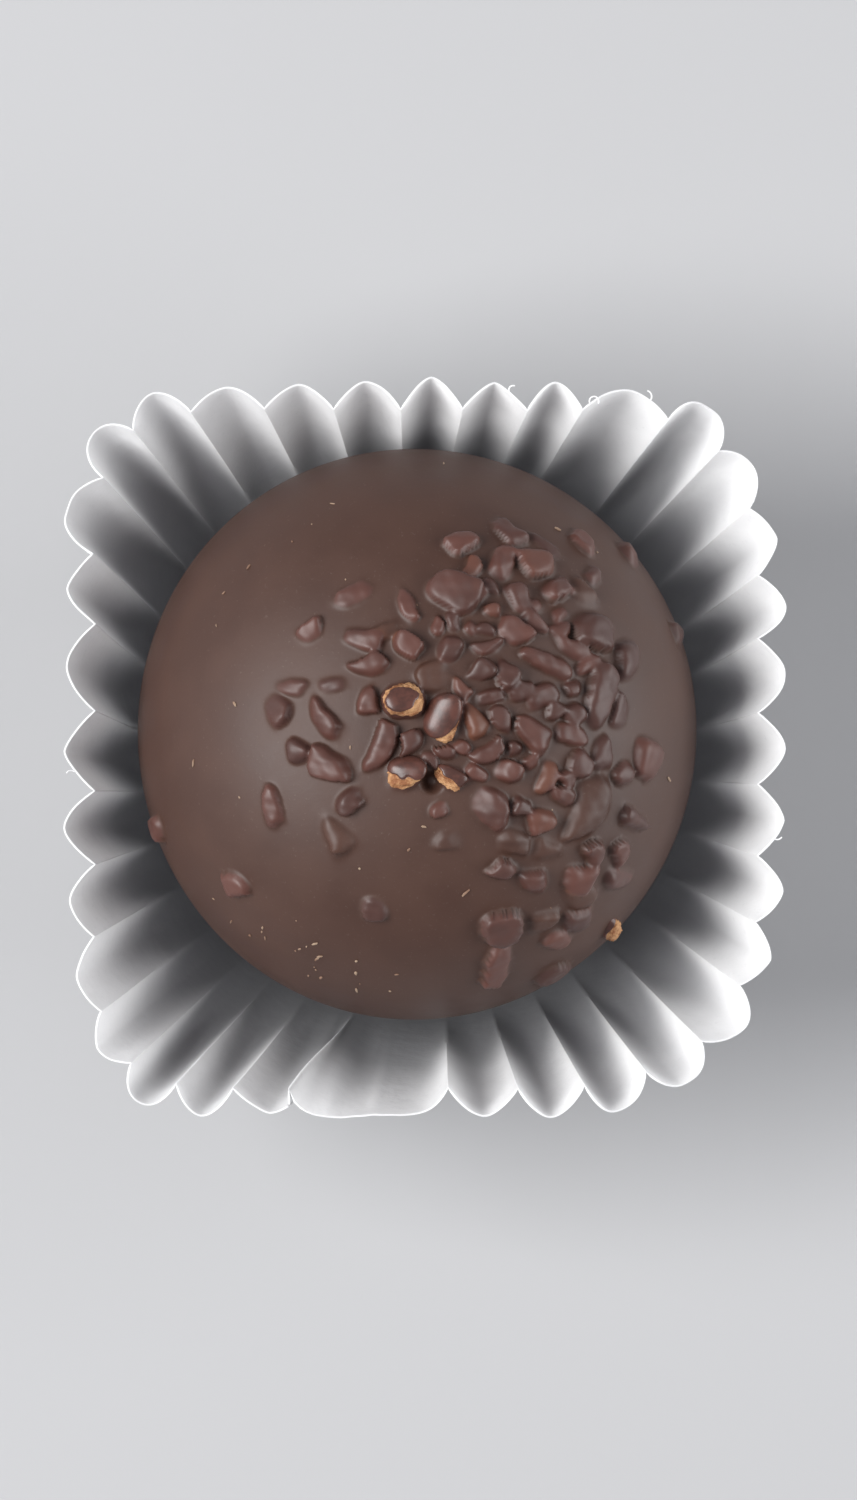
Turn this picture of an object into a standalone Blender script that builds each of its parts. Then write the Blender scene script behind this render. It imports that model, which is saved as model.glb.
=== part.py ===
"""A chocolate truffle in its pleated paper case.

Lengths are in metres and +Z is up. The origin is under the middle of the case, on the surface
that the case stands on.

The case is pressed from a flat round of paper: a plain disc for the bottom, and a wall folded into
pleats that open out towards the rim. It has been squeezed into a square place, so its rim is a
rounded square. The paper of the wall is equally long all round, so the corners, which lean out
further, don't reach as high as the sides. At the front two pleats have opened into one wide lobe.

The truffle is a hand-rolled ball on a small flat foot. It sits a little off the middle of the case.
"""

import math
import random

import bmesh
import bpy
from mathutils import Vector

MM = 0.001
GAP = 0.3 * MM  # left between the truffle and the paper it sits on

# The case
PAPER = 0.3 * MM
BASE_RADIUS = 13.8 * MM
SLANT = 18.0 * MM  # length of the paper from the bottom's edge to the rim
HALF_WIDTH = 17.8 * MM  # middle line of the pleats at the rim, along X
HALF_DEPTH = 18.5 * MM  # and along Y
CORNER_POWERS = (4.8, 6.5, 6.1, 3.7)  # how square each corner is, from +X +Y anticlockwise
PLEATS = 36
PLEAT_DEPTH = 1.9 * MM  # crease to tip at the rim
DEPTH_GROWTH = 0.8  # below 1, pleats deepen faster near the bottom than near the rim
LOBE_POWER = 1.6  # 1 would be a plain zigzag, 2 a parabola
WIDE_PLEAT = 26  # the lobe that takes in the next one too
WIDE_POWER = 3.5
WIDE_DEPTH = 0.75  # of an ordinary pleat's depth
UNEVEN = 0.09  # of a pleat, how far a crease strays from its even place
WALL_LEVELS = (0.0, 0.12, 0.4, 0.7, 1.0)  # shares of the slant where the wall has a ring of points
POINTS_PER_PLEAT = 8
MITRE = 1.5  # most that a sharp crease may stretch the paper's half thickness

# The truffle
TRUFFLE_WIDTH = 29.7 * MM
TRUFFLE_DEPTH = 30.2 * MM
CROWN = 13.9 * MM  # from its widest level up to its top
BELLY = 14.6 * MM  # the same downwards, had it no foot
FOOT_DROP = 12.1 * MM  # from its widest level down to its foot
FOOT_ROUND = 1.2 * MM
CROWN_POWER = 2.08  # 2 is an ellipse, more is fuller
TRUFFLE_OFFSET = Vector((-0.70 * MM, 0.90 * MM, 0.0))
LUMP = 0.008  # share of the radius that the hand-rolled ball strays
TRUFFLE_SIDES = 64
CROWN_RINGS = 14
BELLY_RINGS = 9
FOOT_RINGS = 3

CHOCOLATE = (0.095, 0.056, 0.043, 1.0)
WHITE_PAPER = (0.80, 0.80, 0.80, 1.0)
SHARP_FOLD = math.radians(40)


def clear_scene():
    for old in list(bpy.data.objects):
        bpy.data.objects.remove(old, do_unlink=True)


def material(name, colour, roughness):
    made = bpy.data.materials.new(name)
    made.use_nodes = True
    shader = made.node_tree.nodes["Principled BSDF"]
    shader.inputs["Base Color"].default_value = colour
    shader.inputs["Roughness"].default_value = roughness
    shader.inputs["Metallic"].default_value = 0.0
    made.diffuse_color = colour
    return made


def add_object(name, mesh_builder, finish):
    mesh = bpy.data.meshes.new(name)
    mesh_builder.normal_update()
    mesh_builder.to_mesh(mesh)
    mesh_builder.free()
    mesh.shade_smooth()
    mesh.set_sharp_from_angle(angle=SHARP_FOLD)
    mesh.materials.append(finish)
    made = bpy.data.objects.new(name, mesh)
    bpy.context.scene.collection.objects.link(made)
    return made


def add_ring(builder, points):
    return [builder.verts.new(point) for point in points]


def join_rings(builder, lower, upper):
    """A band of quads between two rings of the same count, facing out where both run anticlockwise."""
    count = len(lower)
    for i in range(count):
        after = (i + 1) % count
        builder.faces.new((lower[i], lower[after], upper[after], upper[i]))


def close_ring(builder, ring, centre, facing_up):
    tip = builder.verts.new(centre)
    count = len(ring)
    for i in range(count):
        after = (i + 1) % count
        corners = (ring[i], ring[after], tip)
        builder.faces.new(corners if facing_up else corners[::-1])


# The case's outline

def rim_at_angle(angle):
    """The middle line of the pleats at the rim: a superellipse with its own power in each quarter."""
    quarter = int(angle // (math.pi / 2)) % 4
    power = CORNER_POWERS[quarter]
    along = abs(math.cos(angle)) / HALF_WIDTH
    across = abs(math.sin(angle)) / HALF_DEPTH
    radius = (along**power + across**power) ** (-1 / power)
    return Vector((radius * math.cos(angle), radius * math.sin(angle)))


def even_steps(curve, samples=1440):
    """A function from a share of the way round to a point on the closed curve, at even speed."""
    points = [curve(2 * math.pi * i / samples) for i in range(samples + 1)]
    lengths = [0.0]
    for before, after in zip(points, points[1:]):
        lengths.append(lengths[-1] + (after - before).length)

    def at(share):
        wanted = (share % 1.0) * lengths[-1]
        low, high = 0, samples
        while high - low > 1:
            middle = (low + high) // 2
            if lengths[middle] <= wanted:
                low = middle
            else:
                high = middle
        part = (wanted - lengths[low]) / (lengths[high] - lengths[low])
        return points[low].lerp(points[high], part)

    return at


def bottom_at(share):
    angle = 2 * math.pi * share
    return Vector((BASE_RADIUS * math.cos(angle), BASE_RADIUS * math.sin(angle)))


def creases():
    """Where the creases are, counted in pleats, with the one inside the wide lobe left out."""
    stray = random.Random(11)
    places = [i - 0.5 + stray.uniform(-UNEVEN, UNEVEN) for i in range(PLEATS)]
    return [place for i, place in enumerate(places) if i != WIDE_PLEAT + 1]


def pleat_points():
    """Each point round the wall as (share of the way round, how far out in its pleat from 0 to 1)."""
    places = creases()
    found = []
    for i, start in enumerate(places):
        end = places[i + 1] if i + 1 < len(places) else places[0] + PLEATS
        wide = i == WIDE_PLEAT
        steps = POINTS_PER_PLEAT * (2 if wide else 1)
        for step in range(steps):
            t = step / steps
            lobe = 1 - abs(2 * t - 1) ** (WIDE_POWER if wide else LOBE_POWER)
            reach = lobe * WIDE_DEPTH if wide else lobe
            found.append(((start + t * (end - start)) / PLEATS, reach))
    return found


def wall_ring(level, rim_at, pleats):
    """The paper's middle surface at one level of the wall.

    The plan runs from the bottom's circle to the rim's outline. The height is what the length of
    the paper leaves once it has gone that far outwards."""
    nudge = 0.02 / PLEATS
    depth = PLEAT_DEPTH * level**DEPTH_GROWTH
    ring = []
    for share, reach in pleats:
        start = bottom_at(share)
        middle = start.lerp(rim_at(share), level)
        ahead = bottom_at(share + nudge).lerp(rim_at(share + nudge), level)
        along = (ahead - middle).normalized()
        outward = Vector((along.y, -along.x))
        plan = middle + outward * depth * (reach - 0.5)
        run = (plan - start).length
        height = math.sqrt(max((SLANT * level) ** 2 - run**2, 0.0))
        ring.append(Vector((plan.x, plan.y, height)))
    return ring


def thickened(ring, distance):
    """The ring moved sideways, square to its own outline, as the faces of folded paper lie."""
    count = len(ring)
    moved = []
    for i, point in enumerate(ring):
        before = (point - ring[i - 1]).to_2d().normalized()
        after = (ring[(i + 1) % count] - point).to_2d().normalized()
        along = (before + after).normalized()
        stretch = min(1 / max(along.dot(after), 0.01), MITRE)
        outward = Vector((along.y, -along.x, 0.0))
        moved.append(point + outward * distance * stretch)
    return moved


def centred(rings):
    """The rings moved sideways together, so that the rim's middle is over the origin."""
    rim = rings[-1]
    middle_x = (min(point.x for point in rim) + max(point.x for point in rim)) / 2
    middle_y = (min(point.y for point in rim) + max(point.y for point in rim)) / 2
    return [[point - Vector((middle_x, middle_y, 0.0)) for point in ring] for ring in rings]


def paper_case():
    rim_at = even_steps(rim_at_angle)
    pleats = pleat_points()
    rings = centred([wall_ring(level, rim_at, pleats) for level in WALL_LEVELS])
    builder = bmesh.new()
    outer = [add_ring(builder, thickened(ring, PAPER / 2)) for ring in rings]
    inner = [add_ring(builder, thickened(ring, -PAPER / 2)) for ring in rings]
    for corner in inner[0]:
        corner.co.z = PAPER
    for lower, upper in zip(outer, outer[1:]):
        join_rings(builder, lower, upper)
    for lower, upper in zip(inner, inner[1:]):
        join_rings(builder, upper, lower)
    join_rings(builder, outer[-1], inner[-1])
    close_ring(builder, outer[0], (0.0, 0.0, 0.0), facing_up=False)
    close_ring(builder, inner[0], (0.0, 0.0, PAPER), facing_up=True)
    return builder


def truffle_profile():
    """The ball's outline from its foot's edge to just under its top, as (share of radius, height)."""
    cut = math.asin(FOOT_DROP / BELLY)
    foot_radius = math.cos(cut)
    round_share = FOOT_ROUND / (TRUFFLE_WIDTH / 2)
    outline = []
    for i in range(FOOT_RINGS):
        turn = math.pi / 2 * i / FOOT_RINGS
        radius = foot_radius - round_share * (1 - math.sin(turn)) * 0.6
        outline.append((radius, -FOOT_DROP + FOOT_ROUND * 0.25 * (1 - math.cos(turn))))
    for i in range(1, BELLY_RINGS + 1):
        below = cut * (1 - i / BELLY_RINGS)
        outline.append((math.cos(below), -BELLY * math.sin(below)))
    for i in range(1, CROWN_RINGS):
        above = math.pi / 2 * i / CROWN_RINGS
        radius = math.cos(above) ** (2 / CROWN_POWER)
        outline.append((radius, CROWN * math.sin(above) ** (2 / CROWN_POWER)))
    return outline


def lump_at(angle, height):
    """How a hand-rolled ball strays from a true one, fading out at the foot so that it stays flat."""
    rise = height / CROWN
    waves = math.sin(3 * angle + 0.7 + rise) + 0.6 * math.sin(2 * angle - 1.1 - 2.0 * rise)
    fade = min(1.0, max(0.0, (height + FOOT_DROP) / (0.4 * FOOT_DROP)))
    return 1 + LUMP * 0.5 * waves * fade


def truffle():
    builder = bmesh.new()
    seat = TRUFFLE_OFFSET + Vector((0.0, 0.0, PAPER + GAP + FOOT_DROP))
    rings = []
    for share, height in truffle_profile():
        points = []
        for i in range(TRUFFLE_SIDES):
            angle = 2 * math.pi * i / TRUFFLE_SIDES
            radius = share * lump_at(angle, height) / 2
            across = Vector((TRUFFLE_WIDTH * math.cos(angle), TRUFFLE_DEPTH * math.sin(angle), 0.0))
            points.append(seat + across * radius + Vector((0.0, 0.0, height)))
        rings.append(add_ring(builder, points))
    for lower, upper in zip(rings, rings[1:]):
        join_rings(builder, lower, upper)
    close_ring(builder, rings[0], seat - Vector((0.0, 0.0, FOOT_DROP)), facing_up=False)
    close_ring(builder, rings[-1], seat + Vector((0.0, 0.0, CROWN)), facing_up=True)
    return builder


def main():
    clear_scene()
    chocolate = material("chocolate", CHOCOLATE, 0.42)
    paper = material("paper", WHITE_PAPER, 0.75)
    add_object("truffle", truffle(), chocolate)
    add_object("paper_case", paper_case(), paper)


main()
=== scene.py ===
# %% [markdown]
# # A chocolate truffle in its pleated paper case
#
# The sweet is a ball of ganache about 30 mm across, dipped in dark chocolate. Chopped cocoa nibs
# stick out of its coat, a few of them broken so that their tan insides show. It sits in a case of
# thin white paper that has been pushed into a square place.
#
# This file dresses a model that is already built and measured. It loads that model, makes a finer
# surface for each of its two solids, adds the nibs and crumbs, and then the floor, the lights and
# the camera. Lengths are in metres, +Z is up, and the case stands on the floor at the origin.

# %% Load the measured model
import math
import random

import bmesh
import bpy
import numpy as np
from mathutils import Matrix, Vector
from mathutils.bvhtree import BVHTree


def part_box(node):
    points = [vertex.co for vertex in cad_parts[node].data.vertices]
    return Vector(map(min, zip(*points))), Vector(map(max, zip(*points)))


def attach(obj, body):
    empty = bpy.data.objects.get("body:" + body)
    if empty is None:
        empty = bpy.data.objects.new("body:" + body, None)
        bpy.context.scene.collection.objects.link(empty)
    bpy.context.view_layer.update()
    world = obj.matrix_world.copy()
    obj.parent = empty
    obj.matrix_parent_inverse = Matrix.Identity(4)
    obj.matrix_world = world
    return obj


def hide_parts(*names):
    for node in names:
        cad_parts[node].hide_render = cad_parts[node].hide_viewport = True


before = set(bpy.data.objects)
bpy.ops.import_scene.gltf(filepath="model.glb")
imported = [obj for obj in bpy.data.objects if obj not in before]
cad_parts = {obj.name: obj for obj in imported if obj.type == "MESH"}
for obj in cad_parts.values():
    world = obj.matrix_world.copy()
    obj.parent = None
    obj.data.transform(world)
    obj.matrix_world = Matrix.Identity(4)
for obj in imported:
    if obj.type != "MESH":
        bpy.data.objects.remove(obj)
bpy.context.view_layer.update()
ball_low, ball_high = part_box("truffle")

# %% [markdown]
# ## Formulas as node trees
#
# Materials and Geometry Nodes trees are graphs, and long formulas are hard to read as graphs. They
# could be wired by hand, one node after another. A small class that wraps a socket is shorter: with
# Python's operators on it, `1 - mask * 2` adds the two Math nodes itself. Every other node comes
# from `add_node`, which sets the node's own settings first and then fills or links its sockets.

# %% A socket that Python can calculate with
def operator(operation, reflected=False):
    """A method of Wire that adds one Math node."""

    def method(self, other=0.0):
        first, second = (other, self) if reflected else (self, other)
        return maths(self.tree, operation, first, second)

    return method


class Wire:
    def __init__(self, tree, socket):
        self.tree, self.socket = tree, socket

    def out(self, name):
        """Another output of the node that this one comes from."""
        return Wire(self.tree, self.socket.node.outputs[name])

    __add__, __radd__ = operator("ADD"), operator("ADD", reflected=True)
    __sub__, __rsub__ = operator("SUBTRACT"), operator("SUBTRACT", reflected=True)
    __mul__, __rmul__ = operator("MULTIPLY"), operator("MULTIPLY", reflected=True)
    __truediv__, __rtruediv__ = operator("DIVIDE"), operator("DIVIDE", reflected=True)
    __pow__, __gt__, __abs__ = operator("POWER"), operator("GREATER_THAN"), operator("ABSOLUTE")


def add_node(tree, kind, settings=None, inputs=None, output=0):
    """A new node: its settings first, then each input's link or value. Gives one of its outputs."""
    node = tree.nodes.new(kind)
    for name, value in (settings or {}).items():
        setattr(node, name, value)
    for key, value in (inputs or {}).items():
        if isinstance(value, Wire):
            tree.links.new(value.socket, node.inputs[key])
        else:
            node.inputs[key].default_value = value
    return Wire(tree, node.outputs[output])


def maths(tree, operation, first, second=0.0):
    return add_node(tree, "ShaderNodeMath", {"operation": operation}, {0: first, 1: second})


def vector_maths(tree, operation, first, second=(0.0, 0.0, 0.0), output=0):
    settings = {"operation": operation}
    return add_node(tree, "ShaderNodeVectorMath", settings, {0: first, 1: second}, output)


def scaled(vector, factor):
    inputs = {0: vector, "Scale": factor}
    return add_node(vector.tree, "ShaderNodeVectorMath", {"operation": "SCALE"}, inputs)


def joined(tree, x, y, z=0.0):
    return add_node(tree, "ShaderNodeCombineXYZ", {}, {0: x, 1: y, 2: z})


def split(vector):
    parts = add_node(vector.tree, "ShaderNodeSeparateXYZ", {}, {0: vector})
    return parts, parts.out("Y"), parts.out("Z")


def mixed_colours(share, first, second):
    inputs = {0: share, 6: first, 7: second}
    return add_node(share.tree, "ShaderNodeMix", {"data_type": "RGBA"}, inputs, output=2)


def mixed_vectors(share, first, second):
    inputs = {0: share, 4: first, 5: second}
    return add_node(share.tree, "ShaderNodeMix", {"data_type": "VECTOR"}, inputs, output=1)


def smooth_range(value, low, high, out_low=0.0, out_high=1.0):
    settings = {"interpolation_type": "SMOOTHSTEP"}
    inputs = {"Value": value, 1: low, 2: high, 3: out_low, 4: out_high}
    return add_node(value.tree, "ShaderNodeMapRange", settings, inputs)


def noise(place, scale, detail=2.0, roughness=0.5):
    """Soft noise from 0 to 1. Its scale is in patches per metre of `place`."""
    inputs = {"Vector": place, "Scale": scale, "Detail": detail, "Roughness": roughness}
    return add_node(place.tree, "ShaderNodeTexNoise", {}, inputs)


print("node helpers ready")

# %% [markdown]
# ## From a tree to a plain mesh
#
# A Geometry Nodes tree is a recipe with named inputs. Here each recipe ends in Set Material, and its
# result is turned into a plain mesh with `new_from_object`, so that nothing later depends on the
# modifier. An input has to be set by its socket's identifier, and before the first evaluation.

# %% Run a recipe on a mesh
def new_recipe(name, sizes):
    """An empty tree with a geometry in and out, and one input for each (name, socket type)."""
    tree = bpy.data.node_groups.new(name, "GeometryNodeTree")
    tree.interface.new_socket("Geometry", in_out="INPUT", socket_type="NodeSocketGeometry")
    tree.interface.new_socket("Geometry", in_out="OUTPUT", socket_type="NodeSocketGeometry")
    for socket_name, kind in sizes:
        tree.interface.new_socket(socket_name, in_out="INPUT", socket_type=kind)
    entry = tree.nodes.new("NodeGroupInput")
    return tree, {socket.name: Wire(tree, socket) for socket in entry.outputs if socket.name}


def end_recipe(tree, geometry, material):
    inputs = {"Geometry": geometry, "Material": material}
    finished = add_node(tree, "GeometryNodeSetMaterial", {}, inputs)
    exit_node = tree.nodes.new("NodeGroupOutput")
    tree.links.new(finished.socket, exit_node.inputs[0])


def run_recipe(name, start_mesh, tree, values):
    """A plain mesh object: the tree's result on the start mesh with these input values."""
    source = bpy.data.objects.new(name + "_start", start_mesh)
    bpy.context.scene.collection.objects.link(source)
    modifier = source.modifiers.new("recipe", "NODES")
    modifier.node_group = tree
    for item in tree.interface.items_tree:
        if item.in_out == "INPUT" and item.name in values:
            modifier[item.identifier] = values[item.name]
    graph = bpy.context.evaluated_depsgraph_get()
    graph.update()
    made = bpy.data.meshes.new_from_object(source.evaluated_get(graph))
    bpy.data.objects.remove(source)
    made.name = name
    return linked(name, made)


def linked(name, mesh):
    piece = bpy.data.objects.new(name, mesh)
    bpy.context.scene.collection.objects.link(piece)
    return piece


def attribute_wire(tree, name, kind="FLOAT"):
    settings = {"data_type": kind}
    return add_node(tree, "GeometryNodeInputNamedAttribute", settings, {"Name": name})


def store(mesh, name, kind, values):
    """A named value on each vertex: FLOAT, INT or FLOAT_VECTOR."""
    field = {"FLOAT": "value", "INT": "value", "FLOAT_VECTOR": "vector"}[kind]
    layer = mesh.attributes.new(name, kind, "POINT")
    layer.data.foreach_set(field, np.ascontiguousarray(values).ravel())


def mesh_from(name, points, faces):
    mesh = bpy.data.meshes.new(name)
    mesh.from_pydata([tuple(point) for point in points], [], faces)
    mesh.update()
    return mesh


print("recipes ready")

# %% [markdown]
# ## The finishes
#
# Dark chocolate that has set in air is satin, with a faint cloudiness, and the nibs under their
# thinner coat are darker, redder and glossier. The broken faces of the nibs are dry and tan. Paper
# is matt, and light spreads a little inside it; its grey deep in the case and in the pleats' troughs
# is painted shade. Each finish could be one colour, but a close look shows patches, so each one
# mixes two or three colours by noise on the object's own coordinates and gets a fine bump from the
# same place.

# %% Colours, and a material from colour, roughness and bump
COAT_DEEP = (0.053, 0.0220, 0.0138, 1)
COAT_PALE = (0.064, 0.0280, 0.0180, 1)
COAT_BLOOM = (0.15, 0.11, 0.09, 1)
NIB_DEEP = (0.060, 0.0245, 0.0185, 1)
NIB_RED = (0.100, 0.038, 0.028, 1)
NIB_ORANGE = (0.16, 0.060, 0.026, 1)
TAN_DEEP = (0.24, 0.09, 0.032, 1)
TAN_PALE = (0.50, 0.27, 0.125, 1)
TAN_BRIGHT = (0.72, 0.52, 0.33, 1)
CRUMB_TAN = (0.20, 0.11, 0.07, 1)
CRUMB_PALE = (0.36, 0.26, 0.18, 1)
FIBRE_DEEP = (0.82, 0.82, 0.82, 1)
FIBRE_PALE = (0.92, 0.92, 0.92, 1)
PAPER_RIM = (0.87, 0.87, 0.87, 1)
# the grey of the painted shade deep in the case, which the paper's fibre flecks also lean towards
PAPER_SHADE_AND_FIBRE_GREY = (0.33, 0.33, 0.34, 1)
PAPER_TRANSLUCENCE = 0.9  # share of its light that passes through the paper's body
PAPER_GLOW = 0.0003  # and how far it spreads in there


def start_material(name):
    material = bpy.data.materials.new(name)
    material.use_nodes = True
    place = add_node(material.node_tree, "ShaderNodeTexCoord", output=3)
    return material, place, material.node_tree.nodes["Principled BSDF"]


def painted(material, name):
    """A value that lies on the mesh's vertices under this name."""
    return add_node(material.node_tree, "ShaderNodeAttribute", {"attribute_name": name}, output=2)


def finish_shader(shader, colour, roughness, height=None, bump_distance=0.0, bump_strength=1.0):
    """Link what changes over the surface, and leave the rest to the shader's own sockets."""
    tree = shader.id_data
    tree.links.new(colour.socket, shader.inputs["Base Color"])
    tree.links.new(roughness.socket, shader.inputs["Roughness"])
    if height is not None:
        inputs = {"Height": height, "Distance": bump_distance, "Strength": bump_strength}
        bump = add_node(tree, "ShaderNodeBump", {}, inputs)
        tree.links.new(bump.socket, shader.inputs["Normal"])


def chocolate_coat():
    """Satin brown, and redder and glossier where the coat lies thin over a nib."""
    material, place, shader = start_material("chocolate_coat")
    over_nib = painted(material, "over_nib")
    tint = painted(material, "tint")
    clouds = noise(place, 260, detail=3)
    patches = noise(place, 900, detail=2)
    grain = noise(place, 5200, detail=2, roughness=0.7)
    brown = mixed_colours(smooth_range(clouds, 0.3, 0.7), COAT_DEEP, COAT_PALE)
    brown = mixed_colours(smooth_range(grain, 0.62, 0.8) * 0.35, brown, COAT_BLOOM)
    thin = mixed_colours(smooth_range(patches * 0.6 + tint * 0.6, 0.3, 0.9), NIB_DEEP, NIB_RED)
    thin = mixed_colours(smooth_range(tint, 0.93, 1.0) * 0.35, thin, NIB_ORANGE)
    colour = mixed_colours(smooth_range(over_nib, 0.3, 0.9), brown, thin)
    satin = smooth_range(clouds, 0.3, 0.7, 0.50, 0.56) + grain * 0.05
    roughness = satin - smooth_range(over_nib, 0.3, 0.9) * 0.07
    height = patches * 0.7 + grain * 0.3
    finish_shader(shader, colour, roughness, height, 0.00003, 0.5)
    return material


def broken_nib():
    """Tan where the value `bare` is high, coated chocolate elsewhere."""
    material, place, shader = start_material("broken_nib")
    bare = painted(material, "bare")
    patches = noise(place, 1500, detail=3, roughness=0.65)
    crumb = noise(place, 7000, detail=3, roughness=0.7)
    tan = mixed_colours(smooth_range(patches, 0.35, 0.6), TAN_DEEP, TAN_PALE)
    tan = mixed_colours(smooth_range(crumb, 0.6, 0.75) * 0.5, tan, TAN_BRIGHT)
    brown = mixed_colours(smooth_range(patches, 0.35, 0.65), NIB_DEEP, NIB_RED)
    mask = smooth_range(bare + (crumb - 0.5) * 0.3, 0.42, 0.58)
    colour = mixed_colours(mask, brown, tan)
    roughness = mask * 0.45 + 0.32
    finish_shader(shader, colour, roughness, crumb * mask + patches * 0.2, 0.00006, 0.8)
    return material


def dry_crumb():
    material, place, shader = start_material("dry_crumb")
    patches = noise(place, 900, detail=2)
    colour = mixed_colours(smooth_range(patches, 0.35, 0.65), CRUMB_TAN, CRUMB_PALE)
    finish_shader(shader, colour, patches * 0.2 + 0.65)
    return material


def fibre_paper():
    material, place, shader = start_material("fibre_paper")
    patches = noise(place, 1500, detail=2)
    colour = mixed_colours(patches, FIBRE_DEEP, FIBRE_PALE)
    finish_shader(shader, colour, patches * 0.1 + 0.75)
    return material


def case_paper():
    """White at the rim, and greyer down inside the case and in the pleats' troughs, which is painted
    shade.
    """
    material, place, shader = start_material("case_paper")
    level = painted(material, "level")
    reach = painted(material, "reach")
    fibres = noise(place, 2600, detail=4, roughness=0.7)
    clouds = noise(place, 350, detail=2)
    wrinkles = noise(place, 700, detail=3, roughness=0.5)
    # painted shade: greyer low on the wall, inside and outside, and in the pleats' troughs; white at the
    # rim and on the creases
    depth = smooth_range(level - reach * 0.30 + (clouds - 0.5) * 0.10, 0.15, 0.80)
    paper_with_painted_shade = mixed_colours(depth, PAPER_SHADE_AND_FIBRE_GREY, PAPER_RIM)
    colour = mixed_colours(smooth_range(fibres, 0.55, 0.75) * 0.10, paper_with_painted_shade, PAPER_SHADE_AND_FIBRE_GREY)
    roughness = fibres * 0.1 + 0.7
    finish_shader(shader, colour, roughness, fibres * 0.15 + wrinkles, 0.00016, 0.4)
    shader.inputs["Subsurface Weight"].default_value = PAPER_TRANSLUCENCE
    shader.inputs["Subsurface Radius"].default_value = (1.0, 1.0, 1.0)
    shader.inputs["Subsurface Scale"].default_value = PAPER_GLOW
    return material


COAT_MATERIAL = chocolate_coat()
BROKEN_MATERIAL = broken_nib()
CRUMB_MATERIAL = dry_crumb()
FIBRE_MATERIAL = fibre_paper()
PAPER_MATERIAL = case_paper()
print("finishes:", [material.name for material in bpy.data.materials])

# %% [markdown]
# ## The paper case
#
# A sweet case starts as a flat round of paper. A press folds its outer part into pleats and leaves a
# plain disc for the bottom. It could be drawn as a zigzag and lofted, but the real paper gives a
# simpler rule: along any line from the bottom's edge to the rim it keeps its length. So where the
# wall leans out more, at the corners of the squeezed case, its rim must come down.
#
# The mesh below is that flat round, with values on every vertex: `share` of the way round,
# `level` up the wall, `spread` across the bottom, and `reach`, how far out in its pleat it lies. The
# recipe then does the pressing. `slide` and `bulge` are only for the wide lobe at the front.

# %% The creases, and the flat round of paper
MM = 0.001
PLEATS = 36
UNEVEN = 0.09  # of a pleat, how far a crease strays from its even place
WIDE_PLEAT = 26
LOBE_POWER = 1.6  # 1 would be a plain zigzag, 2 a parabola
POWER_STRAY = (-0.2, 0.3)
DEPTH_STRAY = (-0.12, 0.08)
WIDE_POWER = 6.0
WIDE_DEPTH = 0.95
WIDE_LEAN = 0.75  # below 1, the wide lobe is steeper at its left end
WIDE_RIDGE = 0.04  # how far the half-opened fold inside the wide lobe stands in
WIDE_RIDGE_PLACE = 0.46
WIDE_RIDGE_WIDTH = 0.05
WIDE_BULGE = 0.9  # how far its rounded left edge stands in, halfway up the wall
WIDE_BULGE_PLACE = 0.07
WIDE_BULGE_WIDTH = 0.13
FOLD_SLIDE = 0.28  # in pleats, how far its left end lies over its neighbour
FOLD_WIDTH = 0.26  # in pleats, how wide the paper is that slides there
FOLD_LIFT = 0.30  # of the pleats' depth
# how much further out the lobes at the corners reach than the others, in pleat depths
CORNER_LOBES = {0: -0.15, 1: -0.15, 5: 0.6, 6: 0.1, 13: 0.2, 14: 0.5, 15: 0.3, 23: 0.45, 24: 0.25}
CORNER_LOBES |= {29: 0.2, 30: 0.45, 31: 0.4, 32: 0.15}
BLUNTNESS = 1.6  # added to a lobe's power for each pleat depth that it reaches further
# how far some creases lie from their even places, in pleats
DRIFT = {7: 0.22, 9: -0.1, 10: -0.09, 11: -0.17, 12: -0.14, 13: -0.2, 14: -0.24, 15: -0.2, 16: -0.22}
DRIFT |= {17: -0.2, 18: 0.1, 19: 0.25, 20: 0.38, 21: 0.44, 22: 0.45, 23: 0.49, 24: 0.25, 25: 0.08}
DRIFT |= {26: 0.2, 28: 0.12, 29: 0.05, 30: 0.08}
PAPER = 0.10 * MM  # how thick it is
CASE_LEFT = -0.3 * MM  # how far the case's middle lies from the solid's
STEPS = 24  # columns of vertices in a pleat
WALL_ROWS = 26
BOTTOM_ROWS = 4


def crease_places():
    """Where the creases are, counted in pleats, with the one inside the wide lobe left out."""
    stray = random.Random(11)
    places = [i - 0.5 + stray.uniform(-UNEVEN, UNEVEN) + DRIFT.get(i, 0.0) for i in range(PLEATS)]
    return [place for i, place in enumerate(places) if i != WIDE_PLEAT + 1]


def fold_at(beyond):
    """Where the wide lobe lies over its neighbour: how far the paper slides back, and reaches out.

    `beyond` is how many pleats past the wide lobe's first crease a column is."""
    slide = -FOLD_SLIDE * max(0.0, 1 - abs(beyond) / FOLD_WIDTH)
    lift = FOLD_LIFT * max(0.0, 1 - abs(beyond + FOLD_WIDTH / 2) / (FOLD_WIDTH / 2))
    return slide, lift


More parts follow.
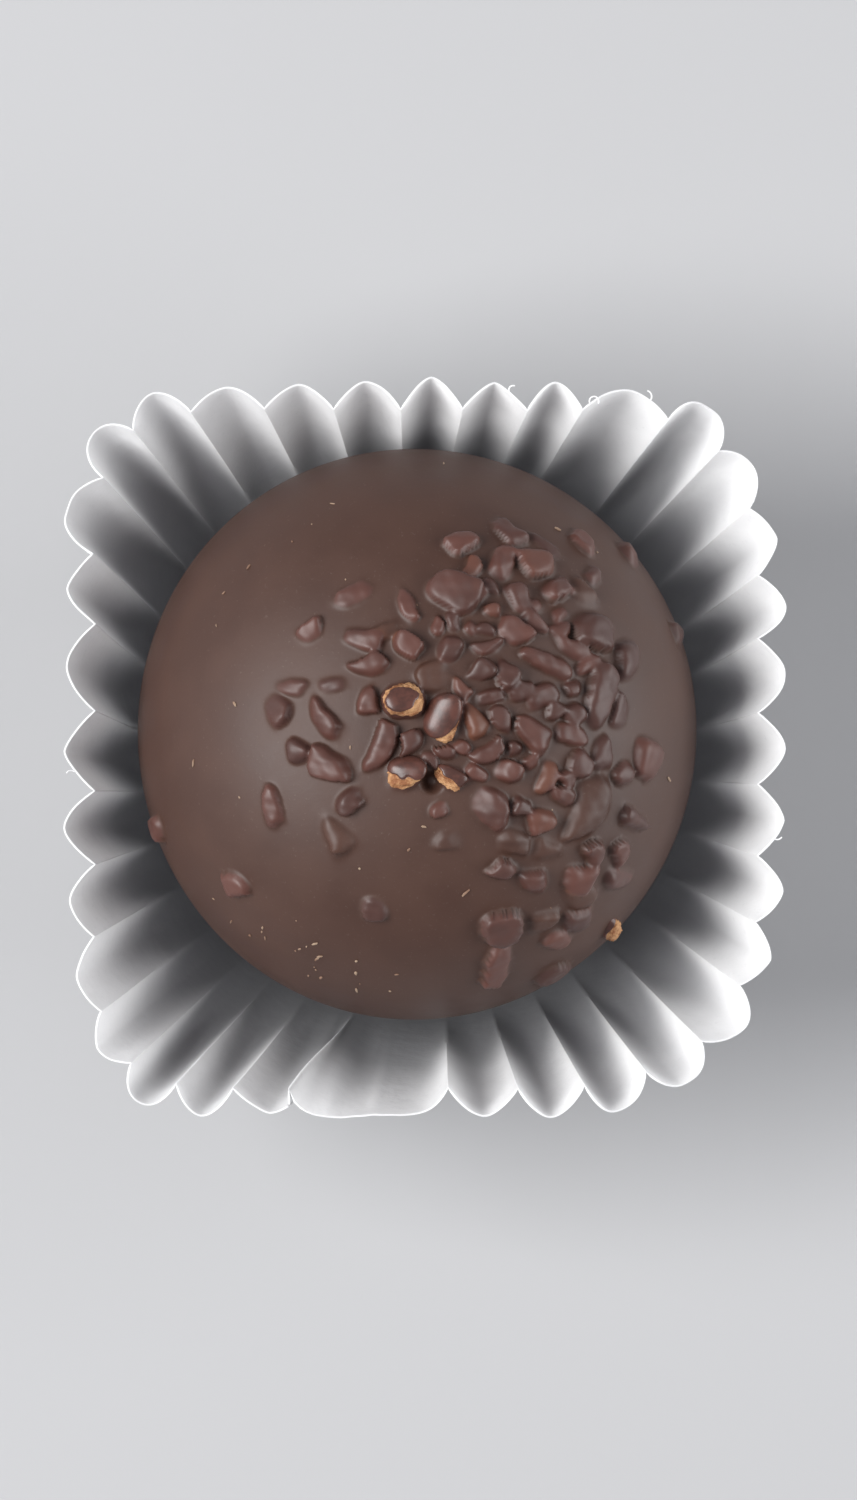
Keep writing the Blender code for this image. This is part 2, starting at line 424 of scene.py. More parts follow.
def paper_columns():
    """For each column of vertices: its share of the way round, slide, reach and bulge."""
    places = crease_places()
    vary = random.Random(5)
    columns = []
    for i, start in enumerate(places):
        end = places[i + 1] if i + 1 < len(places) else places[0] + PLEATS
        wide = i == WIDE_PLEAT
        steps = STEPS * (2 if wide else 1)
        further = CORNER_LOBES.get(i if i <= WIDE_PLEAT else i + 1, 0.0)
        blunter = BLUNTNESS * max(further, 0.0)
        power = WIDE_POWER if wide else LOBE_POWER + vary.uniform(*POWER_STRAY) + blunter
        depth = WIDE_DEPTH if wide else 1 + vary.uniform(*DEPTH_STRAY) + further
        for step in range(steps):
            t = step / steps
            along = t**WIDE_LEAN if wide else t
            reach = (1 - abs(2 * along - 1) ** power) * depth
            bulge = 0.0
            if wide:
                reach -= WIDE_RIDGE * math.exp(-(((t - WIDE_RIDGE_PLACE) / WIDE_RIDGE_WIDTH) ** 2))
                bulge = WIDE_BULGE * math.exp(-(((t - WIDE_BULGE_PLACE) / WIDE_BULGE_WIDTH) ** 2))
            place = start + t * (end - start)
            slide, lift = fold_at(place - places[WIDE_PLEAT])
            columns.append((place / PLEATS, slide / PLEATS, reach + lift, bulge))
    return columns


def flat_paper():
    columns = paper_columns()
    rows = [(i / BOTTOM_ROWS, 0.0) for i in range(1, BOTTOM_ROWS)]
    rows += [(1.0, i / WALL_ROWS) for i in range(WALL_ROWS + 1)]
    count = len(columns)
    values = [(level, spread, *column) for spread, level in rows for column in columns]
    values.append((0.0,) * 6)
    faces = []
    for row in range(len(rows) - 1):
        for i in range(count):
            after = (i + 1) % count
            low, high = row * count, (row + 1) * count
            faces.append((low + i, high + i, high + after, low + after))
    faces += [(i, (i + 1) % count, len(values) - 1) for i in range(count)]
    mesh = mesh_from("flat_paper", [(0, 0, 0)] * len(values), faces)
    names = ("level", "spread", "share", "slide", "reach", "bulge")
    for name, column in zip(names, np.array(values, np.float32).T):
        store(mesh, name, "FLOAT", column)
    return mesh


flat = flat_paper()
print("flat paper:", len(flat.vertices), "vertices,", len(crease_places()), "creases")

# %% [markdown]
# ### The recipe that presses it
#
# The rim is a superellipse: a circle's formula with a higher power, which squares it, and here each
# corner has its own power. Sample Curve walks round it at even speed, as evenly spaced pleats do.
# The wall then runs from the bottom's circle to that rim, each pleat is pushed out and in across the
# wall, and the height is what remains of the paper's length.

# %% Press the case
RIM_POINTS = 1440
DENTS_ROUND = 9  # how fine the soft dents of handled paper are, round the case and up its wall
DENTS_UP = 1.3
SHARP_FOLD = math.radians(50)


def squared_rim(tree, given):
    """A circle pushed out to the rim's outline, a superellipse with its own power in each corner."""
    size = {"Resolution": RIM_POINTS, "Radius": 1.0}
    circle = add_node(tree, "GeometryNodeCurvePrimitiveCircle", {}, size)
    x, y, _ = split(add_node(tree, "GeometryNodeInputPosition"))
    right, back = x > 0.0, y > 0.0
    back_power = right * given["Power Right Back"] + (1 - right) * given["Power Left Back"]
    front_power = right * given["Power Right Front"] + (1 - right) * given["Power Left Front"]
    power = back * back_power + (1 - back) * front_power
    along, across = abs(x) / given["Half Width"], abs(y) / given["Half Depth"]
    radius = (along**power + across**power) ** (-1 / power)
    outline = joined(tree, x * radius, y * radius)
    return add_node(tree, "GeometryNodeSetPosition", {}, {"Geometry": circle, "Position": outline})


def press_recipe():
    sizes = ["Bottom Radius", "Slant", "Half Width", "Half Depth", "Pleat Depth", "Depth Growth"]
    sizes += ["Power Right Back", "Power Left Back", "Power Left Front", "Power Right Front"]
    sizes += ["Corner Flattening", "Fold Growth", "Crumple"]
    kinds = [(name, "NodeSocketFloat") for name in sizes] + [("Material", "NodeSocketMaterial")]
    tree, given = new_recipe("Press the case", kinds)
    level, spread = attribute_wire(tree, "level"), attribute_wire(tree, "spread")
    share = attribute_wire(tree, "share") + attribute_wire(tree, "slide") * level ** given["Fold Growth"]
    halfway = level * (1 - level) * 4  # 1 halfway up the wall, 0 at its bottom and its rim
    reach = attribute_wire(tree, "reach") - attribute_wire(tree, "bulge") * halfway

    rim = squared_rim(tree, given)
    rim_length = add_node(tree, "GeometryNodeCurveLength", {}, {0: rim})
    factor = maths(tree, "FRACT", share + 1)
    sampled = {"Curves": rim, "Factor": factor}
    on_rim = add_node(tree, "GeometryNodeSampleCurve", {"mode": "FACTOR"}, sampled).out("Position")

    turn = share * math.tau
    cosine, sine = maths(tree, "COSINE", turn), maths(tree, "SINE", turn)
    bottom = scaled(joined(tree, cosine, sine), given["Bottom Radius"])
    bottom_speed = scaled(joined(tree, sine * -1, cosine), given["Bottom Radius"] * math.tau)
    rim_speed = scaled(on_rim.out("Tangent"), rim_length)
    middle = mixed_vectors(level, bottom, on_rim)
    speed = mixed_vectors(level, bottom_speed, rim_speed)
    speed_x, speed_y, _ = split(vector_maths(tree, "NORMALIZE", speed))
    outward = joined(tree, speed_y, speed_x * -1)

    around = joined(tree, cosine * DENTS_ROUND, sine * DENTS_ROUND, level * DENTS_UP)
    crumple = (noise(around, 1.0, detail=1) - 0.5) * given["Crumple"]
    corner = abs(maths(tree, "SINE", turn * 2)) ** 2
    depth = given["Pleat Depth"] * level ** given["Depth Growth"]
    depth = depth * (1 - corner * level * given["Corner Flattening"])
    push = depth * (reach - 0.5) + crumple * level
    plan = vector_maths(tree, "ADD", middle, scaled(outward, push))
    run = vector_maths(tree, "DISTANCE", plan, bottom, output=1)
    slant = given["Slant"] * level
    height = maths(tree, "SQRT", maths(tree, "MAXIMUM", slant * slant - run * run, 0.0))
    plan_x, plan_y, _ = split(scaled(plan, spread))
    moved = {"Geometry": given["Geometry"], "Position": joined(tree, plan_x, plan_y, height)}
    end_recipe(tree, add_node(tree, "GeometryNodeSetPosition", {}, moved), given["Material"])
    return tree


paper_case = run_recipe(
    "paper_case_paper",
    flat,
    press_recipe(),
    {
        "Bottom Radius": 13.8 * MM,
        "Slant": 18.0 * MM,
        "Half Width": 18.25 * MM,
        "Half Depth": 18.65 * MM,
        "Pleat Depth": 1.6 * MM,
        "Depth Growth": 1.45,
        "Power Right Back": 4.8,
        "Power Left Back": 6.5,
        "Power Left Front": 6.1,
        "Power Right Front": 3.7,
        "Corner Flattening": 0.35,
        "Fold Growth": 2.0,
        "Crumple": 0.5 * MM,
        "Material": PAPER_MATERIAL,
    },
)


def settle_case(piece):
    """Give the paper its thickness, and stand it on the floor. Gives its size in millimetres."""
    solid = piece.modifiers.new("thickness", "SOLIDIFY")
    solid.thickness = PAPER
    solid.offset = 0.0
    graph = bpy.context.evaluated_depsgraph_get()
    mesh = bpy.data.meshes.new_from_object(piece.evaluated_get(graph))
    piece.modifiers.remove(solid)
    piece.data = mesh
    points = np.empty(len(mesh.vertices) * 3)
    mesh.vertices.foreach_get("co", points)
    points = points.reshape(-1, 3)
    low, high = points.min(axis=0), points.max(axis=0)
    points -= ((low[0] + high[0]) / 2 - CASE_LEFT, (low[1] + high[1]) / 2, low[2])
    mesh.vertices.foreach_set("co", points.ravel())
    mesh.shade_smooth()
    mesh.set_sharp_from_angle(angle=SHARP_FOLD)
    mesh.update()
    return (high - low) / MM


print("case, mm:", settle_case(paper_case), "faces:", len(paper_case.data.polygons))
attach(paper_case, "root")
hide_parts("paper_case")

# %% [markdown]
# ## The ball
#
# The ball is rolled by hand and dipped, so it is a little lumpy and has a small flat foot. A UV
# sphere would do for the shape, but its rings are wanted close together on top, where the nibs raise
# the coat, so the rings are laid here by formula. The chocolate's rise around each nib comes later,
# once the nibs have their places.

# %% A smooth ball
NIB_ROOM = 0.6 * MM  # between the coat's top and the solid's, whose outline takes in the nibs
CROWN = 13.3 * MM
BELLY = 14.6 * MM
FOOT_DROP = 12.1 * MM
CROWN_POWER = 2.08
LUMP = 0.008
SIDES = 400
CROWN_RINGS = 215
FOOT_RINGS = (0.5, 0.93)  # shares of the foot's radius
BELLY_RINGS = 18
BALL_WIDTH = 29.7 * MM
BALL_DEPTH = 30.2 * MM
BALL_MIDDLE = (ball_low + ball_high) / 2
WIDEST_LEVEL = ball_high.z - NIB_ROOM - CROWN


def ball_rings():
    """(share of the radius, height over the widest level) for each ring, from the foot up."""
    cut = math.asin(FOOT_DROP / BELLY)
    rings = [(math.cos(cut) * share, -FOOT_DROP) for share in FOOT_RINGS]
    for i in range(BELLY_RINGS):
        below = cut * (1 - i / BELLY_RINGS)
        rings.append((math.cos(below), -BELLY * math.sin(below)))
    for i in range(CROWN_RINGS):
        above = math.pi / 2 * i / CROWN_RINGS
        share = math.cos(above) ** (2 / CROWN_POWER)
        rings.append((share, CROWN * math.sin(above) ** (2 / CROWN_POWER)))
    return rings


def lump_at(angle, height):
    rise = height / CROWN
    waves = np.sin(3 * angle + 0.7 + rise) + 0.6 * np.sin(2 * angle - 1.1 - 2.0 * rise)
    fade = np.clip((height + FOOT_DROP) / (0.4 * FOOT_DROP), 0.0, 1.0)
    return 1 + LUMP * 0.5 * waves * fade


def smooth_ball():
    angles = np.arange(SIDES) * math.tau / SIDES
    rings = ball_rings()
    points = []
    for share, height in rings:
        radius = share * lump_at(angles, height) / 2
        ring = np.empty((SIDES, 3))
        ring[:, 0] = BALL_MIDDLE.x + BALL_WIDTH * radius * np.cos(angles)
        ring[:, 1] = BALL_MIDDLE.y + BALL_DEPTH * radius * np.sin(angles)
        ring[:, 2] = WIDEST_LEVEL + height
        points.append(ring)
    points = np.concatenate(points)
    foot, top = len(points), len(points) + 1
    middle = (BALL_MIDDLE.x, BALL_MIDDLE.y)
    points = np.vstack([points, (*middle, WIDEST_LEVEL - FOOT_DROP), (*middle, WIDEST_LEVEL + CROWN)])
    faces = []
    for ring in range(len(rings) - 1):
        for i in range(SIDES):
            low, after = ring * SIDES, (i + 1) % SIDES
            faces.append((low + i, low + after, low + SIDES + after, low + SIDES + i))
    last = (len(rings) - 1) * SIDES
    faces += [(foot, (i + 1) % SIDES, i) for i in range(SIDES)]
    faces += [(last + i, last + (i + 1) % SIDES, top) for i in range(SIDES)]
    return mesh_from("truffle_coat", points, faces)


coat = linked("truffle_coat", smooth_ball())
coat.data.materials.append(COAT_MATERIAL)
coat.data.shade_smooth()
print("ball:", len(coat.data.polygons), "faces")

# %% [markdown]
# ## Where the nibs are
#
# Nibs are chips of roasted cocoa bean, one to three millimetres long. They were strewn by hand, so
# they lie thickest right of the middle, trail off down the right side, and only a few are on the
# left. The biggest ones are placed by name below: how far right of and behind the ball's middle,
# their length and width, which way they lie, and how much of them stands out of the coat. The small
# ones between are dealt by a fixed seed, denser where the handful fell, and hardly touch each other.

# %% Placed nibs and dealt nibs
# (right, behind, length, width) in millimetres, turn in degrees, share standing out, shape
PLACED_NIBS = [
    (1.7, 7.0, 2.7, 2.0, -35, 0.55, "slab"),
    (-3.5, 6.9, 2.2, 1.1, 32, 0.25, "bean"),
    (-0.8, 6.3, 1.7, 0.8, -68, 0.45, "long"),
    (-5.8, 4.9, 1.5, 1.1, 25, 0.50, "chip"),
    (-3.0, 4.5, 2.0, 1.3, -15, 0.35, "wedge"),
    (2.1, 9.6, 1.7, 1.1, 25, 0.60, "chip"),
    (4.6, 10.2, 1.9, 1.0, -45, 0.55, "knob"),
    (6.6, 9.5, 2.1, 0.5, -40, 0.45, "long"),
    (8.6, 9.8, 1.5, 0.9, -42, 0.50, "chip"),
    (11.1, 9.3, 1.7, 1.1, -50, 0.55, "chip"),
    (4.2, 8.6, 1.8, 1.25, 80, 0.50, "chip"),
    (6.0, 8.5, 1.9, 1.4, 5, 0.50, "slab"),
    (4.7, 4.9, 1.9, 1.4, -45, 0.60, "chip"),
    (9.0, 5.0, 2.3, 1.9, -20, 0.60, "chip"),
    (13.9, 5.3, 0.9, 0.8, 0, 0.60, "chip"),
    (7.8, 4.0, 1.8, 1.0, -15, 0.55, "bean"),
    (3.3, 4.1, 1.6, 0.8, 0, 0.60, "long"),
    (1.4, 3.9, 1.6, 1.2, 70, 0.55, "knob"),
    (6.4, 3.3, 2.9, 1.0, -20, 0.55, "long"),
    (3.1, 2.8, 1.5, 1.2, 60, 0.60, "knob"),
    (4.3, 2.6, 1.7, 1.3, -40, 0.68, "knob"),
    (5.1, 1.8, 1.3, 1.0, 10, 0.60, "knob"),
    (-6.8, 2.0, 1.5, 0.8, 0, 0.30, "long"),
    (-4.7, 2.1, 1.3, 0.8, 20, 0.30, "chip"),
    (-2.8, 1.3, 1.5, 1.1, 85, 0.55, "chip"),
    (-7.5, 0.8, 1.7, 1.5, -60, 0.40, "wedge"),
    (-5.2, 0.3, 2.3, 1.2, -45, 0.50, "bean"),
    (2.7, 0.3, 1.9, 1.3, -65, 0.50, "wedge"),
    (6.2, 1.6, 1.7, 1.2, 35, 0.50, "chip"),
    (9.3, 1.7, 3.4, 1.4, 78, 0.60, "long"),
    (10.4, 0.8, 1.9, 1.1, 75, 0.40, "chip"),
    (5.7, -0.4, 2.3, 1.5, -40, 0.55, "wedge"),
    (7.8, -0.4, 1.7, 1.0, -10, 0.50, "chip"),
    (-2.1, -1.1, 2.8, 1.3, 65, 0.50, "bean"),
    (-6.3, -1.3, 1.4, 1.3, 0, 0.50, "chip"),
    (-4.8, -2.1, 2.4, 1.6, -25, 0.55, "chip"),
    (3.4, -1.4, 1.9, 1.0, 30, 0.60, "bean"),
    (8.2, -1.9, 1.4, 1.2, 60, 0.60, "chip"),
    (9.4, -1.3, 1.7, 1.1, 85, 0.40, "chip"),
    (11.8, -1.6, 2.1, 1.5, 80, 0.50, "wedge"),
    (-3.8, -3.9, 1.5, 1.2, 30, 0.55, "chip"),
    (-7.8, -4.1, 2.1, 1.0, -75, 0.50, "long"),
    (3.4, -4.1, 2.7, 1.9, -30, 0.38, "wedge"),
    (6.2, -4.9, 1.5, 1.3, 10, 0.50, "chip"),
    (8.2, -7.8, 1.5, 1.4, 0, 0.55, "knob"),
    (5.8, -8.1, 1.5, 1.3, 10, 0.48, "bean"),
    (-9.6, -8.1, 1.2, 1.0, 0, 0.55, "chip"),
    (-2.4, -9.5, 1.3, 1.1, 0, 0.35, "chip"),
    (4.2, -10.4, 2.2, 1.6, 10, 0.48, "slab"),
    (4.0, -12.4, 2.2, 1.1, 82, 0.50, "slab"),
    (8.2, -10.1, 1.7, 1.2, 20, 0.50, "bean"),
    (7.3, -13.1, 1.3, 1.1, 0, 0.50, "chip"),
    (-14.0, -5.2, 1.1, 0.9, 0, 0.60, "chip"),
]
# nibs that the chocolate has covered thickly: the same values
COVERED_NIBS = [
    (8.7, -4.2, 3.6, 2.1, 80, 0.38, "bean"),
    (-4.4, -5.7, 2.1, 1.5, -60, 0.42, "wedge"),
    (1.3, -5.9, 1.3, 1.0, 0, 0.30, "chip"),
    (4.8, -6.0, 1.6, 1.3, 0, 0.40, "chip"),
    (8.6, 7.0, 1.6, 1.1, -30, 0.38, "chip"),
    (6.3, -10.2, 1.4, 1.2, 0, 0.42, "chip"),
    (8.3, -8.9, 1.8, 1.2, 10, 0.38, "bean"),
    (0.6, 2.6, 1.9, 1.5, 20, 0.32, "slab"),
    (-1.9, 4.9, 1.5, 0.8, 10, 0.35, "long"),
    (6.7, -6.4, 1.4, 1.0, 0, 0.34, "chip"),
]
# nibs that broke after the dip: right, behind, length, width, turn, standing, then which way the
# coat that is left on them faces, right and behind, and how wide it is in degrees
BROKEN_NIBS = [
    (-0.98, 1.26, 2.2, 2.0, 20, 0.72, -0.03, 0.12, 46),
    (1.0, 0.36, 2.6, 1.9, 80, 0.62, -0.75, 0.55, 76),
    (-0.86, -2.4, 2.2, 1.8, 10, 0.58, 0.05, 0.80, 73),
    (1.35, -2.65, 1.8, 1.2, -35, 0.55, 1.5, 1.2, 68),
    (10.25, -10.4, 1.5, 1.3, -45, 0.55, -0.80, 0.30, 75),
]
DEALT_NIBS = 140
DEAL_TRIES = 70  # places tried for each dealt nib, of which the one with room for the biggest is kept
DEAL_RIGHT = (-4, 12.5)  # where they are tried, in millimetres
DEAL_BEHIND = (-12, 11.5)
DEAL_REACH = 13.2
DEALT_WIDTH = (0.55, 1.5, 0.95)  # millimetres: least, most, commonest
DEALT_LENGTH = (1.05, 1.75)  # in widths
DEALT_STANDING = (0.50, 0.72)
DEALT_KINDS = ["chip", "chip", "long", "bean", "knob", "wedge"]
LEAST_GAP = -0.12  # millimetres to a dealt nib's neighbours: below 0, their feet may meet
# the handful: right, behind, spread across, spread along, weight
HANDFULS = [(4.3, 1.4, 5.0, 4.8, 1.0), (7.4, -6.5, 3.0, 4.2, 0.16), (5.2, 7.6, 3.6, 1.9, 0.16)]


def handful_density(x, y):
    total = 0.0
    for middle_x, middle_y, spread_x, spread_y, weight in HANDFULS:
        away = ((x - middle_x) / spread_x) ** 2 + ((y - middle_y) / spread_y) ** 2
        total += weight * math.exp(-(away**2))
    return total


def footprint(x, y, length, width, turn):
    """Three circles that cover a nib, as (x, y, radius)."""
    step = max(length - width, 0.0) / 2
    cosine, sine = math.cos(math.radians(turn)), math.sin(math.radians(turn))
    return [(x + cosine * step * i, y + sine * step * i, width / 2) for i in (-1, 0, 1)]


def room_between(first, second):
    return min(math.hypot(x - a, y - b) - r - s for x, y, r in first for a, b, s in second)


def deal_nibs(taken, seed=8):
    """Nibs where the density says so, each as big as its place allows."""
    draw = random.Random(seed)
    footprints = [footprint(*nib[:5]) for nib in taken]
    dealt = []
    for _ in range(DEALT_NIBS):
        best = None
        for _ in range(DEAL_TRIES):
            x, y = draw.uniform(*DEAL_RIGHT), draw.uniform(*DEAL_BEHIND)
            width = draw.triangular(*DEALT_WIDTH)
            length = width * draw.uniform(*DEALT_LENGTH)
            turn = draw.uniform(0, 180)
            if math.hypot(x, y) > DEAL_REACH or draw.random() > handful_density(x, y):
                continue
            here = footprint(x, y, length, width, turn)
            if all(room_between(here, other) > LEAST_GAP for other in footprints):
                if best is None or length * width > best[2] * best[3]:
                    best = (x, y, length, width, turn)
        if best is not None:
            standing = draw.uniform(*DEALT_STANDING)
            dealt.append((*best, standing, draw.choice(DEALT_KINDS)))
            footprints.append(footprint(*best))
    return dealt


taken_places = PLACED_NIBS + COVERED_NIBS + BROKEN_NIBS
NIBS = PLACED_NIBS + deal_nibs(taken_places)
print("nibs:", len(PLACED_NIBS), "placed,", len(NIBS) - len(PLACED_NIBS), "dealt")

# %% [markdown]
# ## Setting nibs on the ball
#
# Each place above is flat, as seen from over the ball. Dropping a ray from there finds the spot on
# the ball and which way is out. A nib stands on that direction and lies along its turn.

# %% Drop the places onto the ball
ball_shape = BVHTree.FromPolygons(
    [vertex.co.copy() for vertex in coat.data.vertices],
    [tuple(polygon.vertices) for polygon in coat.data.polygons],
)
LIMB = 14.55  # millimetres from the middle, past which a ray would miss the ball
LEAST_SLOPE = 0.25
MOST_LENGTHENED = 1.6


def on_slope(out, turn):
    """The direction along a slope that has this turn as seen from above."""
    heading = Vector((math.cos(math.radians(turn)), math.sin(math.radians(turn)), 0.0))
    heading.z = -heading.dot(out) / max(out.z, LEAST_SLOPE)
    return heading


def seat_of(x, y, turn):
    """The point on the ball under a place in millimetres, with the directions out, along and across."""
    away = math.hypot(x, y)
    if away > LIMB:
        x, y = x * LIMB / away, y * LIMB / away
    above = Vector((BALL_MIDDLE.x + x * MM, BALL_MIDDLE.y + y * MM, ball_high.z + 1.0))
    spot, out, _, _ = ball_shape.ray_cast(above, Vector((0, 0, -1)))
    along = on_slope(out, turn).normalized()
    return spot, out, along, out.cross(along)


def true_size(out, turn, length, width):
    """Length and width on the slope of the ball, of what looks this long and wide from above."""
    longer = [min(on_slope(out, way).length, MOST_LENGTHENED) for way in (turn, turn + 90)]
    return length * longer[0], width * longer[1]


print("highest seat, mm:", max(seat_of(nib[0], nib[1], nib[4])[0].z for nib in NIBS) / MM)

# %% [markdown]
# ## The shapes of the nibs
#
# A chip of bean has a few flat breaks, and its coat rounds their edges. Cutting a block with a knife
# tool and bevelling it would work, but there is a neater way: let a shape reach out from its middle
# until it meets the nearest of some tilted planes, and let the planes meet softly. A high power gives
# crisp edges, a low one gives a pebble. Tapered, bent and knobbly nibs take one more step each.

# %% Nib shapes
# for each kind: how crisp its edges are, how many breaks it has, and its taper, bend and bumps
NIB_KINDS = {
    "chip": {"crispness": 4.0, "breaks": 4, "taper": 0.0, "bend": 0.0, "bumps": 1},
    "long": {"crispness": 3.4, "breaks": 2, "taper": 0.15, "bend": 0.15, "bumps": 1},
    "bean": {"crispness": 3.0, "breaks": 1, "taper": 0.10, "bend": 0.40, "bumps": 0},
    "wedge": {"crispness": 3.8, "breaks": 2, "taper": 0.35, "bend": 0.0, "bumps": 1},
    "slab": {"crispness": 4.6, "breaks": 3, "taper": 0.05, "bend": 0.0, "bumps": 0},
    "knob": {"crispness": 3.2, "breaks": 2, "taper": 0.10, "bend": 0.1, "bumps": 5},
}
SHAPES_PER_KIND = 8
BUMP_RISE = 0.25  # of a nib's half size
BUMP_TIGHTNESS = 7.0
FURTHEST_BEND = 1.3  # half lengths from a nib's middle, past which its taper and bend don't grow


def round_block(subdivisions):
    """The vertices and faces of an even ball."""
    builder = bmesh.new()
    bmesh.ops.create_icosphere(builder, subdivisions=subdivisions, radius=1.0)
    points = np.array([vertex.co[:] for vertex in builder.verts])
    faces = [tuple(vertex.index for vertex in face.verts) for face in builder.faces]
    builder.free()
    return points, faces


def tilted_planes(draw, breaks, top):
    """A block's six sides, each a little tilted, and some breaks: directions and distances."""
    sides = np.array([(1, 0, 0), (-1, 0, 0), (0, 1, 0), (0, -1, 0), (0, 0, 1), (0, 0, -1)], float)
    tilted = sides + 0.16 * draw.normal(size=(6, 3))
    distances = draw.uniform(0.9, 1.0, 6) * (1, 1, 1, 1, top, 1)
    across = draw.normal(size=(breaks, 3)) * (1.0, 1.0, 0.6)
    planes = np.vstack([tilted, across])
    planes /= np.linalg.norm(planes, axis=1)[:, None]
    return planes, np.concatenate([distances, draw.uniform(0.82, 1.02, breaks)])


def new_shape(seed, crispness, breaks, taper, bend, bumps, top=1.0):
    draw = np.random.default_rng(seed)
    planes, distances = tilted_planes(draw, breaks, top)
    heads = draw.normal(size=(bumps, 3)) * (1.0, 1.0, 0.6)
    heads /= np.linalg.norm(heads, axis=1)[:, None]
    shape = {"planes": planes, "distances": distances, "crispness": crispness, "bumps": heads}
    shape.update(taper=taper, bend=bend)
    directions, _ = round_block(4)
    points = bent(shape, directions * reach_of(shape, directions)[:, None])
    low, high = points.min(axis=0), points.max(axis=0)
    shape.update(middle=(low + high) / 2, half=(high - low) / 2)
    return shape


def reach_of(shape, directions):
    """How far the unbent shape reaches out from its middle in each direction."""
    meets = np.maximum(directions @ shape["planes"].T, 0.0) / shape["distances"]
    reach = (meets ** shape["crispness"]).sum(axis=-1) ** (-1 / shape["crispness"])
    for head in shape["bumps"]:
        reach = reach + BUMP_RISE * np.exp(-BUMP_TIGHTNESS * (1 - directions @ head))
    return reach


def bent(shape, points):
    points = points.copy()
    x = np.clip(points[..., 0], -FURTHEST_BEND, FURTHEST_BEND)
    points[..., 1:] *= (1 + shape["taper"] * x)[..., None]
    points[..., 1] += shape["bend"] * x**2
    return points


def unbent(shape, points):
    points = points.copy()
    x = np.clip(points[..., 0], -FURTHEST_BEND, FURTHEST_BEND)
    points[..., 1] -= shape["bend"] * x**2
    points[..., 1:] /= (1 + shape["taper"] * x)[..., None]
    return points


def shape_points(shape, directions):
    """The surface in these directions, in half sizes from the shape's middle."""
    points = bent(shape, directions * reach_of(shape, directions)[:, None])
    return (points - shape["middle"]) / shape["half"]


def how_far_out(shape, places):
    """1 on the shape's surface, less inside and more outside. Places are in its half sizes."""
    straight = unbent(shape, places * shape["half"] + shape["middle"])
    away = np.linalg.norm(straight, axis=-1) + 1e-9
    return away / reach_of(shape, straight / away[..., None])


def all_shapes():
    shapes = {}
    for number, kind in enumerate(NIB_KINDS):
        top = 0.6 if kind == "slab" else 1.0
        for i in range(SHAPES_PER_KIND):
            shapes[kind, i] = new_shape(100 + 20 * number + i, top=top, **NIB_KINDS[kind])
    return shapes


SHAPES = all_shapes()
print("nib shapes:", len(SHAPES))

# %% Where each nib lies
NIB_HEIGHT = 0.90  # of a nib's width
THICK_COVER = 2.2  # times as soft as elsewhere, where the chocolate lies thick over a nib


def laid_nib(x, y, length, width, turn, standing, shape, tint, cover=1.0):
    """A nib's middle, its axes as rows and its half sizes, in metres, and its shape, tint and cover."""
    spot, out, along, across = seat_of(x, y, turn)
    height = width * NIB_HEIGHT
    length, width = true_size(out, turn, length, width)
    middle = spot + out * height * (standing - 0.5) * MM
    axes = np.array([along[:], across[:], out[:]])
    halves = np.array([length, width, height]) * MM / 2
    laid = {"middle": np.array(middle), "axes": axes, "halves": halves}
    laid.update(shape=shape, tint=tint, cover=cover)
    return laid


def lay_nibs():
    pick = random.Random(21)
    laid = []
    for nibs, cover in ((NIBS, 1.0), (COVERED_NIBS, THICK_COVER)):
        for *place, kind in nibs:
            shape = SHAPES[kind, pick.randrange(SHAPES_PER_KIND)]
            laid.append(laid_nib(*place, shape, pick.random(), cover))
    return laid


LAID_NIBS = lay_nibs()

# %% [markdown]
# ## Strewing
#
# Dozens of separate objects would be slow to handle and impossible to export, so one recipe strews
# what lies loose: a point for each thing carries its size, its directions and its shape's number,
# and Instance on Points puts the shape there. Realize Instances turns them into real mesh.

# %% Strew shapes on points
def strew_recipe():
    kinds = [("Shapes", "NodeSocketCollection"), ("Material", "NodeSocketMaterial")]
    tree, given = new_recipe("Strew shapes", kinds)
    library = {"Collection": given["Shapes"], "Separate Children": True, "Reset Children": True}
    shapes = add_node(tree, "GeometryNodeCollectionInfo", {}, library)
    out, along, size = [attribute_wire(tree, name, "FLOAT_VECTOR") for name in ("out", "along", "size")]
    align = "FunctionNodeAlignRotationToVector"
    upright = add_node(tree, align, {"axis": "Z"}, {"Vector": out})
    about_out = {"axis": "X", "pivot_axis": "Z"}
    turned = add_node(tree, align, about_out, {"Rotation": upright, "Vector": along})
    laid = {"Points": given["Geometry"], "Instance": shapes, "Pick Instance": True}
    laid |= {"Instance Index": attribute_wire(tree, "shape", "INT"), "Rotation": turned, "Scale": size}
    strewn = add_node(tree, "GeometryNodeInstanceOnPoints", {}, laid)
    real = add_node(tree, "GeometryNodeRealizeInstances", {}, {0: strewn})
    end_recipe(tree, real, given["Material"])
    return tree


def strew(name, places, library, material):
    """places: (spot, out, along, size, shape number) for each thing to put down."""
    spots, outs, alongs, sizes, shapes = zip(*places)
    mesh = mesh_from(name + "_points", spots, [])
    for attribute, values in (("out", outs), ("along", alongs), ("size", sizes)):
        store(mesh, attribute, "FLOAT_VECTOR", np.array([value[:] for value in values], np.float32))
    store(mesh, "shape", "INT", np.array(shapes, np.int32))
    return run_recipe(name, mesh, STREW, {"Shapes": library, "Material": material})


STREW = strew_recipe()
print("strewing recipe ready")

